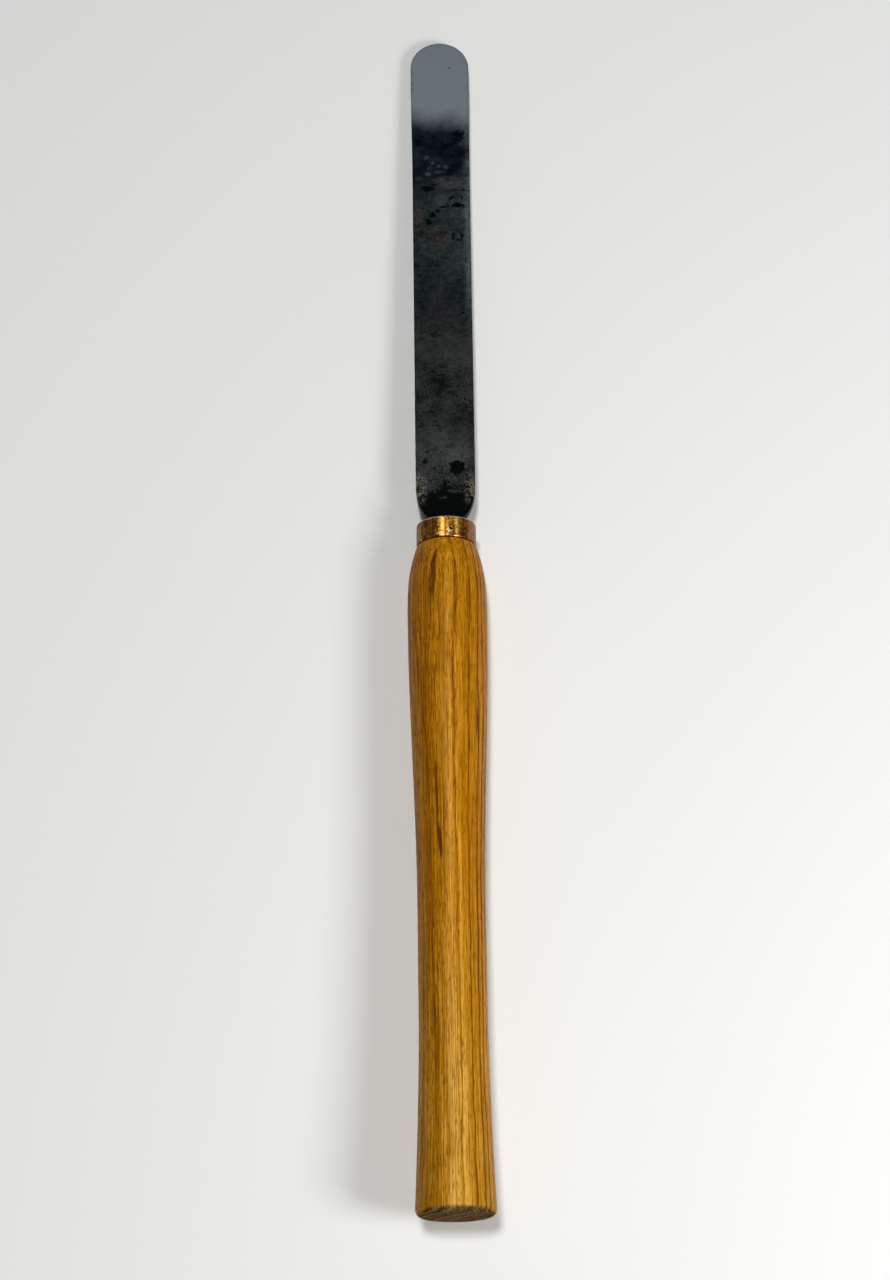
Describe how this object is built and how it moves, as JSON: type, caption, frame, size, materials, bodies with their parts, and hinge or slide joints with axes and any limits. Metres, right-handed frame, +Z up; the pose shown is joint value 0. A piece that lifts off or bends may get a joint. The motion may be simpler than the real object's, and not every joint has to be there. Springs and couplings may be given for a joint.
{
  "type": "round nose scraper",
  "caption": "Woodturning scraper: flat black steel blade with a round, undercut nose, its tang driven into a turned ash handle behind a staked copper ferrule.",
  "frame": {"origin": "on the bench under the middle of the tool's box, with the tool lying as it rests, on its nose and on the swelling of its handle", "axes": "+Y along the tool from the butt towards the nose, +Z up out of the bench and out of the blade's top face, +X to the right seen from the butt"},
  "size_m": [0.0262, 0.4126, 0.0361],
  "materials": {
    "blade_steel": "black scale, with the nose ground to a grey satin",
    "ferrule_copper": "worn copper tube, brushed and slightly tarnished",
    "handle_ash": "turned ash under a thin amber oil finish"
  },
  "bodies": {
    "root": {"blade": "blade_steel", "ferrule": "ferrule_copper", "handle": "handle_ash"}
  },
  "joints": []
}
